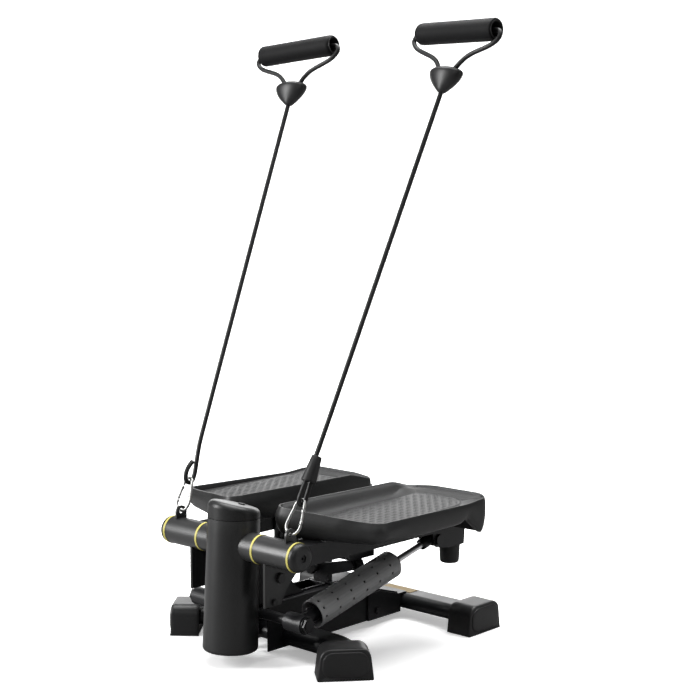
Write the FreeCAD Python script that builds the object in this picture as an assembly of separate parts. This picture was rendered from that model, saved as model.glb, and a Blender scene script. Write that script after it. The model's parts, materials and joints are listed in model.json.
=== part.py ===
import FreeCAD, Part
import math
import os

V = FreeCAD.Vector

# Mini stepper with two stepping pedals, hydraulic dampers and resistance bands.
# Units are millimetres. Right means the +X side, as seen from in front of the column. -Y is the
# column side, +Z is up, and the origin is at the bottom centre of the whole object.

# ---- driving dimensions ----------------------------------------------------------------------
PIVOT_Y = -170.4          # pedal pivot axis, along X
PIVOT_Z = 171.0

COLUMN_R_BOTTOM = 39.8
COLUMN_R_TOP = 37.6
COLUMN_Z_BOTTOM = 17.0
COLUMN_Z_TOP = 208.2
COLUMN_WALL = 3.0
COLUMN_LEAN = math.radians(2.6)  # the column leans back from its foot to its cap
CAP_Z_HIGH = 237.5
CAP_SLANT_DEG = 14.5
CAP_CORNER_R = 8.5

AXLE_R = 10.0             # solid pivot axle
STUB_R = 20.4             # welded cross tube, same diameter as the pedal sleeves
STUB_X = 56.0
SLEEVE_X0 = 60.0
SLEEVE_X1 = 127.5
SLEEVE_BORE_R = 14.0
RING_R = 21.0             # flange of the yellow bushes
CAP_X0 = 131.4
CAP_X1 = 141.0
RUNNING = 0.08            # radial running clearance
BODY_GAP = 0.4            # axial gap between pieces that turn past each other

TUBE_DEPTH = 50.0         # flat oval frame tube
TUBE_HEIGHT = 24.6
TUBE_Z = 24.0
TUBE_WALL = 2.0
REAR_TUBE_Y = PIVOT_Y + 352.0
REAR_TUBE_X = 170.0
BOW_Y = PIVOT_Y + 90.0
BOW_BEND_R = 62.0
BOW_ANGLE = math.radians(40.5)

FOOT_HEIGHT = 45.0
FOOT_LENGTH = 43.6
REAR_FOOT_X1 = 183.5
REAR_FOOT_DEPTH = 77.0
FRONT_FOOT_X = 181.4      # middle of the front foot's outer face
FRONT_FOOT_Y = PIVOT_Y + 41.0
FRONT_FOOT_DEPTH = 78.0

SPINE_X = 31.0
SPINE_Z0 = 9.0
SPINE_Z1 = 79.0
SPINE_Y0 = PIVOT_Y + 38.8
SPINE_Y1 = PIVOT_Y + 323.0
SHEET = 2.5               # steel sheet of the channels
SADDLE_X = 34.5
SADDLE_TOP = TUBE_Z + TUBE_HEIGHT / 2 + 2.8
SLOPE_Y0 = PIVOT_Y + 252.0  # where the spine's top starts to fall towards the rear tube
SLOPE_Y1 = PIVOT_Y + 277.0
SLOPE_Z = 55.0
SLOT_X = 16.0               # half width of the opening in the spine's top
SLOT_Y0 = PIVOT_Y + 62.0
SLOT_Y1 = PIVOT_Y + 170.0
HEM_WALL = 1.5              # folded edge round that opening
HEM_RISE = 3.0

ARM_X = 100.0             # middle of each arm, damper and foot plate bracket
ARM_HALF = 18.0
ARM_Z0 = 151.0
ARM_Z1 = 191.0
ARM_Y0 = PIVOT_Y + 11.3
ARM_Y1 = PIVOT_Y + 388.0
ARM_STEP_Y = PIVOT_Y + 68.0  # in front of this the arm is lower, to pass under the foot plate
ARM_STEP_Z = 179.6
ARM_FIT = 0.2                # gap between the arm and the foot plate that sits over it

LOWER_AXLE_Y = PIVOT_Y + 31.0
LOWER_AXLE_Z = 67.0
LOWER_AXLE_R = 7.5
LOWER_AXLE_X = 122.0
EYE_Y = PIVOT_Y + 322.0   # upper damper pin
EYE_Z = 138.5
PIN_R = 5.0
OPEN_EYE_R = 6.5          # bore of the open pivot, wider than its pin
GUARD_R = 20.8
GUARD_WALL = 1.6
GUARD_HOLE_R = 2.0
GUARD_HOLE_ROWS = 6
GUARD_HOLES_AROUND = 10
GUARD_HOLE_START = 7.8
GUARD_HOLE_PITCH = 29.1
GUARD_S0 = 29.0           # distances along the damper from the lower axle
GUARD_S1 = 202.0
BARREL_R = 14.0
BARREL_BORE_R = 11.0
ROD_R = 5.0

PEDAL_X0 = 42.0
PEDAL_X1 = 201.0
PEDAL_Y1 = PIVOT_Y + 348.0
PEDAL_Z0 = 180.0
# Corners of the foot plate: x, distance behind the pivot, corner radius.
PEDAL_CORNERS = [(42, 38, 16), (72, 42, 100), (201, 89, 22), (183.7, 348, 27), (42, 348, 15)]
PEDAL_RIM_INNER = 226.0   # rim height on the column side of the foot plate
PEDAL_RIM_OUTER = 210.0
PEDAL_WALL = 3.5
FLAP_X = 185.4             # outer face of the deeper skirt at the rear outer corner
TREAD_DROP = 5.0
TREAD_PLATE = 4.0

ROCKER_Y = PIVOT_Y + 184.0
ROCKER_Z = 104.0
ROLLER_X = 70.0
ROLLER_Z = 118.0
ROLLER_R = 8.5
ROLLER_WIDTH = 14.0
SHOE_Z = 128.8

EYE_PLATE_X = 115.0
EYE_HOLE = V(115.0, PIVOT_Y + 1.0, 201.0)
EYE_HOLE_R = 4.0
CARABINER_WIRE_R = 2.3
CARABINER_LENGTH = 50.0
CARABINER_BOTTOM_R = 13.0
CARABINER_TOP_R = 8.0
GATE_R = 2.0
GATE_BARREL_R = 2.4
GATE_HINGE_RISE = 6.2

YOKE_FOOT = V(157.5, PIVOT_Y + 270.0, 815.2)
GRIP_CENTRE = V(164.0, PIVOT_Y + 299.0, 902.0)
GRIP_AXIS = V(0.9977, -0.0645, -0.020)
GRIP_LENGTH = 149.0
GRIP_R = 16.5
GRIP_BORE_R = 12.0
CORD_R = 3.5
# Ends of the bands as distances (through the carabiner, along the band) from the eye hole.
CRIMPED_LOOP = [(0.5, 124), (3.9, 100), (6.1, 64), (6.3, 43.2), (-6.3, 43.2), (-6.1, 64), (-3.9, 98)]
OPEN_LOOP = [(-0.5, 112), (-3, 92), (-5.5, 73), (-8.2, 56), (-5.4, 43.2), (5.4, 43.2), (9.8, 53), (8.4, 65),
             (3.0, 75)]

X = V(1, 0, 0)
Y = V(0, 1, 0)
Z = V(0, 0, 1)
COLUMN_AXIS = V(0, math.sin(COLUMN_LEAN), math.cos(COLUMN_LEAN))

# Directions of the right damper, of the right band and of the right handle.
DAMPER_LOW = V(ARM_X, LOWER_AXLE_Y, LOWER_AXLE_Z)
DAMPER_HIGH = V(ARM_X, EYE_Y, EYE_Z)
DAMPER_ALONG = (DAMPER_HIGH - DAMPER_LOW).normalize()
DAMPER_ACROSS = DAMPER_ALONG.cross(X).normalize()
BAND_ALONG = (YOKE_FOOT - EYE_HOLE).normalize()
BAND_ACROSS = (X - BAND_ALONG * BAND_ALONG.dot(X)).normalize()
BAND_THROUGH = BAND_ACROSS.cross(BAND_ALONG)
HANDLE_UP = (GRIP_CENTRE - YOKE_FOOT).normalize()
HANDLE_OUT = (GRIP_AXIS - HANDLE_UP * HANDLE_UP.dot(GRIP_AXIS)).normalize()


# ---- helpers ---------------------------------------------------------------------------------
def save(node, shape):
    shape.exportStep("parts/" + node + ".step")
    volume = sum(solid.Volume for solid in shape.Solids)
    print(f"{node:24s} solids {len(shape.Solids)} volume {volume / 1000.0:9.2f} cm3")


def block(x0, x1, y0, y1, z0, z1):
    return Part.makeBox(x1 - x0, y1 - y0, z1 - z0, V(x0, y0, z0))


def rod(radius, start, end):
    run = end - start
    return Part.makeCylinder(radius, run.Length, start, run)


def ring(outer, inner, start, end):
    return rod(outer, start, end).cut(rod(inner, start - (end - start), end + (end - start)))


def mirrored(shape):
    return shape.mirror(V(0, 0, 0), X)


def mirrored_point(point):
    return V(-point.x, point.y, point.z)


def both_sides(shape):
    return Part.makeCompound([shape, mirrored(shape)])


def prism(points, along):
    face = Part.Face(Part.makePolygon(points + [points[0]]))
    return face.extrude(along)


def plate_yz(outline, x0, x1):
    return prism([V(x0, y, z) for y, z in outline], V(x1 - x0, 0, 0))


def hex_head(centre, direction, across, height):
    radius = across / math.sqrt(3.0)
    axis = V(direction).normalize()
    side = axis.cross(Z if abs(axis.z) < 0.9 else X).normalize()
    other = axis.cross(side)
    corners = []
    for step in range(6):
        angle = math.radians(60.0 * step)
        corners.append(centre + side * (radius * math.cos(angle)) + other * (radius * math.sin(angle)))
    return prism(corners, axis * height)


def flat_oval(depth, height, centre, across, up):
    """Face of a flat oval: depth is measured along across, and height along up."""
    radius = height / 2.0
    flat = (depth - height) / 2.0
    right = centre + across * flat
    left = centre - across * flat
    top = Part.LineSegment(left + up * radius, right + up * radius).toShape()
    nose = Part.Arc(right + up * radius, right + across * radius, right - up * radius).toShape()
    base = Part.LineSegment(right - up * radius, left - up * radius).toShape()
    tail = Part.Arc(left - up * radius, left - across * radius, left + up * radius).toShape()
    return Part.Face(Part.Wire([top, nose, base, tail]))


def arc_route(points):
    """Edges of a route of straight runs joined by tangent arcs, and the arcs' radii."""
    edges = []
    radii = []
    start = points[0]
    for index in range(1, len(points) - 1):
        corner = points[index]
        back = points[index - 1] - corner
        ahead = points[index + 1] - corner
        turn = math.pi - back.getAngle(ahead)
        reach = 0.45 * min(back.Length, ahead.Length)
        radius = reach / math.tan(turn / 2.0)
        back.normalize()
        ahead.normalize()
        inward = (back + ahead).normalize()
        first = corner + back * reach
        last = corner + ahead * reach
        middle = corner + inward * (radius / math.cos(turn / 2.0) - radius)
        edges.append(Part.LineSegment(start, first).toShape())
        edges.append(Part.Arc(first, middle, last).toShape())
        radii.append(radius)
        start = last
    edges.append(Part.LineSegment(start, points[-1]).toShape())
    return edges, radii


def cord(name, points, radius):
    edges, radii = arc_route(points)
    path = Part.Wire(edges)
    section = Part.Wire([Part.makeCircle(radius, points[0], points[1] - points[0])])
    solid = path.makePipeShell([section], True, False)
    expected = math.pi * radius ** 2 * path.Length
    rounded = ", ".join(f"{value:.1f}" for value in radii)
    print(f"{name} length {path.Length:.1f} volume ratio {solid.Volume / expected:.4f} radii {rounded}")
    return solid


# ---- base frame ------------------------------------------------------------------------------
def column_point(height):
    """Point on the column's leaning axis, which crosses the pivot axis."""
    return V(0, PIVOT_Y, PIVOT_Z) + COLUMN_AXIS * (height - PIVOT_Z)


def column_solid(shrink):
    height = COLUMN_Z_TOP - COLUMN_Z_BOTTOM
    foot = column_point(COLUMN_Z_BOTTOM)
    return Part.makeCone(COLUMN_R_BOTTOM - shrink, COLUMN_R_TOP - shrink, height, foot, COLUMN_AXIS)


def column_shell():
    """Moulded column cover, with the ways through it for the cross tube and the lower axle."""
    outer = column_solid(0.0)
    bottom_edges = [edge for edge in outer.Edges if edge.BoundBox.ZMax < COLUMN_Z_BOTTOM + 5.0]
    outer = outer.makeFillet(5.0, bottom_edges)
    shell = outer.cut(column_solid(COLUMN_WALL).translated(V(0, 0, 4.0)))
    shell = shell.cut(rod(STUB_R, V(-60, PIVOT_Y, PIVOT_Z), V(60, PIVOT_Y, PIVOT_Z)))
    axle = rod(LOWER_AXLE_R, V(-60, LOWER_AXLE_Y, LOWER_AXLE_Z), V(60, LOWER_AXLE_Y, LOWER_AXLE_Z))
    return shell.cut(axle)


def display_frame():
    """Point in the middle of the cap's slanted top, and the top's normal."""
    tilt = math.radians(CAP_SLANT_DEG)
    normal = V(0.28 * math.sin(tilt), math.sin(tilt), math.cos(tilt)).normalize()
    middle = column_point(CAP_Z_HIGH - COLUMN_R_TOP * math.tan(tilt))
    return middle, normal


def column_cap():
    """Slanted cap with the display's window and the button's hole."""
    middle, normal = display_frame()
    base = column_point(COLUMN_Z_TOP + 0.8)
    cap = Part.makeCylinder(COLUMN_R_TOP, 45.0, base, COLUMN_AXIS)
    top = Part.makeBox(200, 200, 60)
    top.translate(V(-100, -100, 0))
    top.Placement = FreeCAD.Placement(middle, FreeCAD.Rotation(Z, normal)).multiply(top.Placement)
    cap = cap.cut(top)
    rim = [edge for edge in cap.Edges if edge.BoundBox.ZMin > base.z + 5.0]
    cap = cap.makeFillet(CAP_CORNER_R, rim)
    spigot = ring(COLUMN_R_TOP - COLUMN_WALL - 0.2, 30.0, column_point(199.0), base)
    hollow = Part.makeCylinder(30.0, 5.0, base, COLUMN_AXIS)
    window = display_pocket(normal, middle, 0.0, 8.0)
    centre = button_centre()
    hole = rod(5.4, centre - normal * 20.0, centre + normal * 10.0)
    pocket = rod(8.0, centre - normal * 14.0, centre - normal * 5.8)
    return cap.fuse(spigot).removeSplitter().cut([hollow, window, hole, pocket])


def display_pocket(normal, middle, top, depth):
    """Window of the display, from top down to depth below the cap's slanted top."""
    length = 34.0
    width = 18.0
    shift = -8.0
    plate = block(-length / 2, length / 2, shift - width / 2, shift + width / 2, -depth, top)
    upright = [edge for edge in plate.Edges if edge.BoundBox.ZLength > depth * 0.9]
    plate = plate.makeFillet(3.0, upright)
    plate.Placement = FreeCAD.Placement(middle, FreeCAD.Rotation(Z, normal))
    return plate


def display_lens():
    middle, normal = display_frame()
    return display_pocket(normal, middle, 0.0, 3.0)


def button_centre():
    middle, normal = display_frame()
    turn = FreeCAD.Rotation(Z, normal)
    return middle + turn.multVec(V(0, 15.0, 0))


def display_button():
    middle, normal = display_frame()
    centre = button_centre()
    stem = rod(5.2, centre - normal * 6.0, centre + normal * 1.8)
    upper = [edge for edge in stem.Edges if (edge.BoundBox.Center - centre).dot(normal) > 1.0]
    flange = rod(7.0, centre - normal * 10.0, centre - normal * 7.2)
    neck = rod(4.0, centre - normal * 7.5, centre - normal * 5.5)
    return stem.makeFillet(1.0, upper[:1]).fuse([flange, neck]).removeSplitter()


def turned_about_pivot(outline):
    points = [V(x, PIVOT_Y, PIVOT_Z + r) for x, r in outline]
    face = Part.Face(Part.makePolygon(points + [points[0]]))
    return face.revolve(V(0, PIVOT_Y, PIVOT_Z), X, 360)


def pivot_stub():
    """Cross tube through the column, closed at both ends round the axle."""
    end = STUB_X
    inside = STUB_X - 8.0
    bore = 17.0
    return turned_about_pivot([(end, AXLE_R), (end, STUB_R), (-end, STUB_R), (-end, AXLE_R),
                               (-inside, AXLE_R), (-inside, bore), (inside, bore), (inside, AXLE_R)])


def pivot_axle():
    return rod(AXLE_R, V(-CAP_X0 + 0.2, PIVOT_Y, PIVOT_Z), V(CAP_X0 - 0.2, PIVOT_Y, PIVOT_Z))


def end_cap():
    dome_r = 20.2
    cap = Part.makeCylinder(dome_r, CAP_X1 - CAP_X0, V(CAP_X0, PIVOT_Y, PIVOT_Z), X)
    rim = [edge for edge in cap.Edges if edge.BoundBox.XMin > CAP_X1 - 0.1]
    cap = cap.makeFillet(7.5, rim)
    recess = rod(5.5, V(CAP_X1 - 4.5, PIVOT_Y, PIVOT_Z), V(CAP_X1 + 5, PIVOT_Y, PIVOT_Z))
    return cap.cut(recess)


def end_bolt():
    start = V(CAP_X1 - 4.5, PIVOT_Y, PIVOT_Z)
    head = rod(5.0, start, start + V(2.6, 0, 0))
    socket = hex_head(start + V(0.8, 0, 0), X, 4.0, 4.0)
    return head.cut(socket)


def bow_path(offset_end):
    """Straight middle, one bend and the straight end of the bow tube on the +X side."""
    reach = BOW_BEND_R * math.tan(BOW_ANGLE / 2.0)
    run = (BOW_Y - FRONT_FOOT_Y) / math.sin(BOW_ANGLE)
    corner_x = FRONT_FOOT_X - run * math.cos(BOW_ANGLE)
    bend_x = corner_x - reach
    direction = V(math.cos(BOW_ANGLE), -math.sin(BOW_ANGLE), 0)
    bend_end = V(corner_x, BOW_Y, TUBE_Z) + direction * reach
    tube_end = V(FRONT_FOOT_X, FRONT_FOOT_Y, TUBE_Z) - direction * offset_end
    return bend_x, bend_end, tube_end, direction


def bow_solid(depth, height):
    bend_x, bend_end, tube_end, direction = bow_path(8.0)
    middle = flat_oval(depth, height, V(0, BOW_Y, TUBE_Z), Y, Z).extrude(V(bend_x, 0, 0))
    section = flat_oval(depth, height, V(bend_x, BOW_Y, TUBE_Z), Y, Z)
    bend = section.revolve(V(bend_x, BOW_Y - BOW_BEND_R, TUBE_Z), Z, -math.degrees(BOW_ANGLE))
    across = V(math.sin(BOW_ANGLE), math.cos(BOW_ANGLE), 0)
    end = flat_oval(depth, height, bend_end, across, Z).extrude(tube_end - bend_end)
    half = middle.fuse([bend, end])
    return half.fuse(mirrored(half)).removeSplitter()


def front_bow_tube():
    inner = bow_solid(TUBE_DEPTH - 2 * TUBE_WALL, TUBE_HEIGHT - 2 * TUBE_WALL)
    return bow_solid(TUBE_DEPTH, TUBE_HEIGHT).cut(inner)


def rear_tube_solid(depth, height):
    section = flat_oval(depth, height, V(-REAR_TUBE_X, REAR_TUBE_Y, TUBE_Z), Y, Z)
    return section.extrude(V(2 * REAR_TUBE_X, 0, 0))


def rear_tube():
    outer = rear_tube_solid(TUBE_DEPTH, TUBE_HEIGHT)
    return outer.cut(rear_tube_solid(TUBE_DEPTH - 2 * TUBE_WALL, TUBE_HEIGHT - 2 * TUBE_WALL))


def foot_block(depth):
    """A moulded end shoe along +X, its outer face at x = 0 and its base at z = 0."""
    body = block(-FOOT_LENGTH, 0, -depth / 2, depth / 2, 0, FOOT_HEIGHT)
    upright = [edge for edge in body.Edges if edge.BoundBox.ZLength > 40 and edge.BoundBox.XMax > -1]
    body = body.makeFillet(10.0, upright)
    top = [edge for edge in body.Edges if edge.BoundBox.ZMin > FOOT_HEIGHT - 0.1]
    return body.makeFillet(6.0, top)


def front_foot():
    direction = V(math.cos(BOW_ANGLE), -math.sin(BOW_ANGLE), 0)
    foot = foot_block(FRONT_FOOT_DEPTH)
    foot.Placement = FreeCAD.Placement(V(FRONT_FOOT_X, FRONT_FOOT_Y, 0), FreeCAD.Rotation(X, direction))
    return foot.cut(bow_solid(TUBE_DEPTH, TUBE_HEIGHT))


def rear_foot():
    foot = foot_block(REAR_FOOT_DEPTH)
    foot.translate(V(REAR_FOOT_X1, REAR_TUBE_Y, 0))
    return foot.cut(rear_tube_solid(TUBE_DEPTH, TUBE_HEIGHT))


def spine_channel():
    """Folded channel, open below and along the front of its top, and lower at the rear."""
    outer = plate_yz([(SPINE_Y0, SPINE_Z0), (SPINE_Y1, SPINE_Z0), (SPINE_Y1, SADDLE_TOP + 2.0),
                      (SLOPE_Y1, SLOPE_Z), (SLOPE_Y0, SPINE_Z1), (SPINE_Y0, SPINE_Z1)], -SPINE_X, SPINE_X)
    long_edges = [edge for edge in outer.Edges
                  if edge.BoundBox.YLength > 200 and edge.BoundBox.ZMin > SPINE_Z1 - 1]
    outer = outer.makeFillet(3.0, long_edges)
    hollow = plate_yz([(SPINE_Y0 - 5, 0.0), (SPINE_Y1 + 5, 0.0), (SPINE_Y1 + 5, SADDLE_TOP - 2.0),
                       (SLOPE_Y1 - 1.0, SLOPE_Z - SHEET), (SLOPE_Y0 - 1.0, SPINE_Z1 - SHEET),
                       (SPINE_Y0 - 5, SPINE_Z1 - SHEET)], -SPINE_X + SHEET, SPINE_X - SHEET)
    hem_x = SLOT_X + HEM_WALL
    hem = block(-hem_x, hem_x, SLOT_Y0 - HEM_WALL, SLOT_Y1 + HEM_WALL, SPINE_Z1 - SHEET, SPINE_Z1 + HEM_RISE)
    opening = block(-SLOT_X, SLOT_X, SLOT_Y0, SLOT_Y1, SPINE_Z1 - 10.0, SPINE_Z1 + 10.0)
    channel = outer.cut(hollow).fuse(hem).removeSplitter().cut(opening)
    return channel.cut(column_solid(0.0)).cut(bow_solid(TUBE_DEPTH, TUBE_HEIGHT))


def rear_saddle():
    """Side plates outside the spine's rear end, with the cross plates that meet the rear tube."""
    y_wall = PIVOT_Y + 250.0
    y_low = PIVOT_Y + 322.0
    y_tube = REAR_TUBE_Y - TUBE_DEPTH / 2
    z_top = TUBE_Z + TUBE_HEIGHT / 2
    outline = [(y_wall, SPINE_Z0), (y_tube - 1.0, SPINE_Z0), (y_tube - 1.0, SADDLE_TOP),
               (y_low, SADDLE_TOP), (SLOPE_Y1, SLOPE_Z - 3.0), (y_wall, SLOPE_Z - 3.0)]
    side = plate_yz(outline, SPINE_X, SADDLE_X)
    top = block(-SADDLE_X, SADDLE_X, SPINE_Y1 + 0.1, PIVOT_Y + 341.0, z_top, SADDLE_TOP)
    web = block(-SADDLE_X, SADDLE_X, y_tube - 3.5, y_tube - 0.6, SPINE_Z0, SADDLE_TOP)
    web = web.cut(rear_tube_solid(TUBE_DEPTH, TUBE_HEIGHT))
    return side.fuse([mirrored(side), top, web]).removeSplitter()


def post_gusset():
    """Two upright ribs behind the column and the tie between them."""
    outline = [(PIVOT_Y + 30.0, SPINE_Z1), (PIVOT_Y + 122.0, SPINE_Z1), (PIVOT_Y + 104.0, 92.0),
               (PIVOT_Y + 56.0, 144.0), (PIVOT_Y + 30.0, 150.0)]
    rib = plate_yz(outline, 18.0, 22.0)
    tie = block(-18.0, 18.0, PIVOT_Y + 30.0, PIVOT_Y + 60.0, 96.0, 100.0)
    return rib.fuse([mirrored(rib), tie]).cut(column_solid(0.0)).removeSplitter()


def frame_screws():
    heads = []
    for side in (-1, 1):
        start = V(side * SADDLE_X, PIVOT_Y + 270.0, 22.0)
        heads.append(hex_head(start, V(side, 0, 0), 9.0, 3.2))
    return Part.makeCompound(heads + [end_bolt(), mirrored(end_bolt())])


def rear_label():
    top = TUBE_Z + TUBE_HEIGHT / 2
    return block(-20.0, 40.0, PIVOT_Y + 343.0, PIVOT_Y + 363.0, top, top + 0.6)


def lower_axle():
    start = V(-LOWER_AXLE_X, LOWER_AXLE_Y, LOWER_AXLE_Z)
    return rod(LOWER_AXLE_R, start, mirrored_point(start))


def axle_nut():
    start = V(117.0, LOWER_AXLE_Y, LOWER_AXLE_Z)
    washer = rod(11.5, V(114.8, LOWER_AXLE_Y, LOWER_AXLE_Z), start)
    nut = hex_head(start, X, 19.0, 4.0)
    return washer.fuse(nut).cut(rod(LOWER_AXLE_R, start - V(9, 0, 0), start + V(9, 0, 0))).removeSplitter()


def rocker_post():
    plate_y = ROCKER_Y - 5.0
    ear = block(-15.0, 15.0, plate_y, plate_y + 10.0, SPINE_Z1, ROCKER_Z + 10.0)
    flange = block(-22.0, 22.0, plate_y - 3.0, plate_y + 28.0, SPINE_Z1, SPINE_Z1 + 3.0)
    bore = rod(6.0, V(0, plate_y - 50, ROCKER_Z), V(0, plate_y + 50, ROCKER_Z))
    return ear.fuse(flange).removeSplitter().cut(bore)


def rocker_bolt():
    head_y = ROCKER_Y - 22.5
    shank = rod(6.0, V(0, head_y, ROCKER_Z), V(0, ROCKER_Y + 12.0, ROCKER_Z))
    head = hex_head(V(0, head_y, ROCKER_Z), V(0, -1, 0), 15.0, 6.0)
    nut = hex_head(V(0, ROCKER_Y + 5.0, ROCKER_Z), Y, 15.0, 6.0)
    return shank.fuse([head, nut]).removeSplitter()


def rocker_beam():
    """Beam that carries a roller under each arm, so one pedal rises as the other falls."""
    plate_y0 = ROCKER_Y - 14.0
    plate_y1 = ROCKER_Y - ROLLER_WIDTH / 2 - BODY_GAP
    rise = ROLLER_Z - ROCKER_Z
    outline = [(-ROLLER_X, rise + 8), (-20, 10), (20, 10), (ROLLER_X, rise + 8),
               (ROLLER_X + 7, rise), (ROLLER_X, rise - 8), (20, -9), (-20, -9),
               (-ROLLER_X, rise - 8), (-ROLLER_X - 7, rise)]
    corners = [V(x, plate_y0, ROCKER_Z + z) for x, z in outline]
    beam = prism(corners, V(0, plate_y1 - plate_y0, 0))
    pin_end = ROCKER_Y + ROLLER_WIDTH / 2 + 2.0
    for side in (-1, 1):
        centre_x = side * ROLLER_X
        beam = beam.fuse(rod(4.0, V(centre_x, plate_y0, ROLLER_Z), V(centre_x, pin_end, ROLLER_Z)))
    bore = rod(6.0 + RUNNING, V(0, plate_y0 - 5, ROCKER_Z), V(0, plate_y1 + 5, ROCKER_Z))
    return beam.removeSplitter().cut(bore)


def rocker_roller():
    start = V(ROLLER_X, ROCKER_Y - ROLLER_WIDTH / 2, ROLLER_Z)
    end = V(ROLLER_X, ROCKER_Y + ROLLER_WIDTH / 2, ROLLER_Z)
    return ring(ROLLER_R, 4.0 + RUNNING, start, end)


# ---- pedal side ------------------------------------------------------------------------------
def sleeve():
    """Steel sleeve on the pivot, with its welded lever plate and band eye plate."""
    tube = turned_about_pivot([(SLEEVE_X0, SLEEVE_BORE_R), (SLEEVE_X0, STUB_R),
                               (SLEEVE_X1, STUB_R), (SLEEVE_X1, SLEEVE_BORE_R)])
    outline = [(PIVOT_Y - 13, 162), (PIVOT_Y - 13, 93), (PIVOT_Y + 18, 93), (PIVOT_Y + 23, 102),
               (PIVOT_Y + 29, 112), (PIVOT_Y + 38, 122), (PIVOT_Y + 50, 133), (PIVOT_Y + 54, 150),
               (PIVOT_Y + 20, 172)]
    lever = plate_yz(outline, 75.0, 79.0)
    lever = lever.cut(rod(STUB_R - 2.0, V(70, PIVOT_Y, PIVOT_Z), V(90, PIVOT_Y, PIVOT_Z)))
    eye_y = PIVOT_Y + 1.0
    half = 10.0
    eye = block(EYE_PLATE_X - 1.5, EYE_PLATE_X + 1.5, eye_y - half, eye_y + half, 184.0, 199.0)
    eye_top = V(EYE_PLATE_X - 1.5, eye_y, 199.0)
    eye = eye.fuse(rod(half, eye_top, eye_top + V(3, 0, 0)))
    eye = eye.cut(rod(EYE_HOLE_R, EYE_HOLE - V(9, 0, 0), EYE_HOLE + V(9, 0, 0)))
    eye = eye.cut(rod(STUB_R - 2.0, V(100, PIVOT_Y, PIVOT_Z), V(125, PIVOT_Y, PIVOT_Z)))
    return tube.fuse([lever, eye]).removeSplitter()


def bushes():
    """Flanged yellow rings in both ends of a sleeve."""
    bore = AXLE_R + RUNNING
    inner = turned_about_pivot([(STUB_X + BODY_GAP, bore), (STUB_X + BODY_GAP, RING_R),
                                (SLEEVE_X0, RING_R), (SLEEVE_X0, SLEEVE_BORE_R),
                                (SLEEVE_X0 + 14, SLEEVE_BORE_R), (SLEEVE_X0 + 14, bore)])
    outer = turned_about_pivot([(CAP_X0 - BODY_GAP, bore), (CAP_X0 - BODY_GAP, RING_R),
                                (SLEEVE_X1, RING_R), (SLEEVE_X1, SLEEVE_BORE_R),
                                (SLEEVE_X1 - 14, SLEEVE_BORE_R), (SLEEVE_X1 - 14, bore)])
    return Part.makeCompound([inner, outer])


def arm():
    """Folded channel, open below, that carries the foot plate."""
    x0 = ARM_X - ARM_HALF
    x1 = ARM_X + ARM_HALF
    step_end = ARM_STEP_Y + SHEET
    step_under = ARM_STEP_Z - SHEET
    outer = block(x0, x1, ARM_Y0, ARM_Y1, ARM_Z0, ARM_Z1)
    hollow = block(x0 + SHEET, x1 - SHEET, PIVOT_Y, ARM_Y1 + 5, ARM_Z0 - 5, ARM_Z1 - SHEET)
    under_skirt = block(x0 - 1, x1 + 1, ARM_Y0 - 5, ARM_STEP_Y, ARM_STEP_Z, ARM_Z1 + 5)
    web = block(x0, x1, ARM_Y0, step_end, step_under, ARM_STEP_Z)
    riser = block(x0, x1, ARM_STEP_Y, step_end, step_under, ARM_Z1)
    channel = outer.cut([hollow, under_skirt]).fuse([web, riser]).removeSplitter()
    return channel.cut(rod(STUB_R, V(60, PIVOT_Y, PIVOT_Z), V(140, PIVOT_Y, PIVOT_Z)))


def corner_arc(before, corner, after, radius):
    """Start, middle and end of the arc that rounds a corner of a flat outline."""
    back = (before - corner).normalize()
    ahead = (after - corner).normalize()
    half = back.getAngle(ahead) / 2.0
    reach = radius / math.tan(half)
    towards = (back + ahead).normalize()
    middle = corner + towards * (radius / math.sin(half) - radius)
    return corner + back * reach, middle, corner + ahead * reach


def pedal_outline(inset, z):
    """Foot plate outline: rounded corners and a front that sweeps back towards the outer side."""
    corners = [V(x, PIVOT_Y + y, z) for x, y, radius in PEDAL_CORNERS]
    arcs = []
    for i, (x, y, radius) in enumerate(PEDAL_CORNERS):
        after = corners[(i + 1) % len(corners)]
        arcs.append(corner_arc(corners[i - 1], corners[i], after, radius))
    edges = []
    for i, (start, middle, end) in enumerate(arcs):
        edges.append(Part.LineSegment(arcs[i - 1][2], start).toShape())
        edges.append(Part.Arc(start, middle, end).toShape())
    face = Part.Face(Part.Wire(edges))
    return face.makeOffset2D(-inset) if inset > 0 else face


def above_rim(drop):
    """Everything above the slanted plane through the rim, lowered by drop."""
    y0 = PIVOT_Y
    y1 = PEDAL_Y1 + 20.0
    z_inner = PEDAL_RIM_INNER - drop
    z_outer = PEDAL_RIM_OUTER - drop
    slope = (z_outer - z_inner) / (PEDAL_X1 - PEDAL_X0)
    x_far = PEDAL_X1 + 20.0
    x_near = PEDAL_X0 - 20.0
    corners = [V(x_near, y0, z_inner - 20.0 * slope), V(x_far, y0, z_outer + 20.0 * slope),
               V(x_far, y0, 260.0), V(x_near, y0, 260.0)]
    return prism(corners, V(0, y1 - y0, 0))


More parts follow.
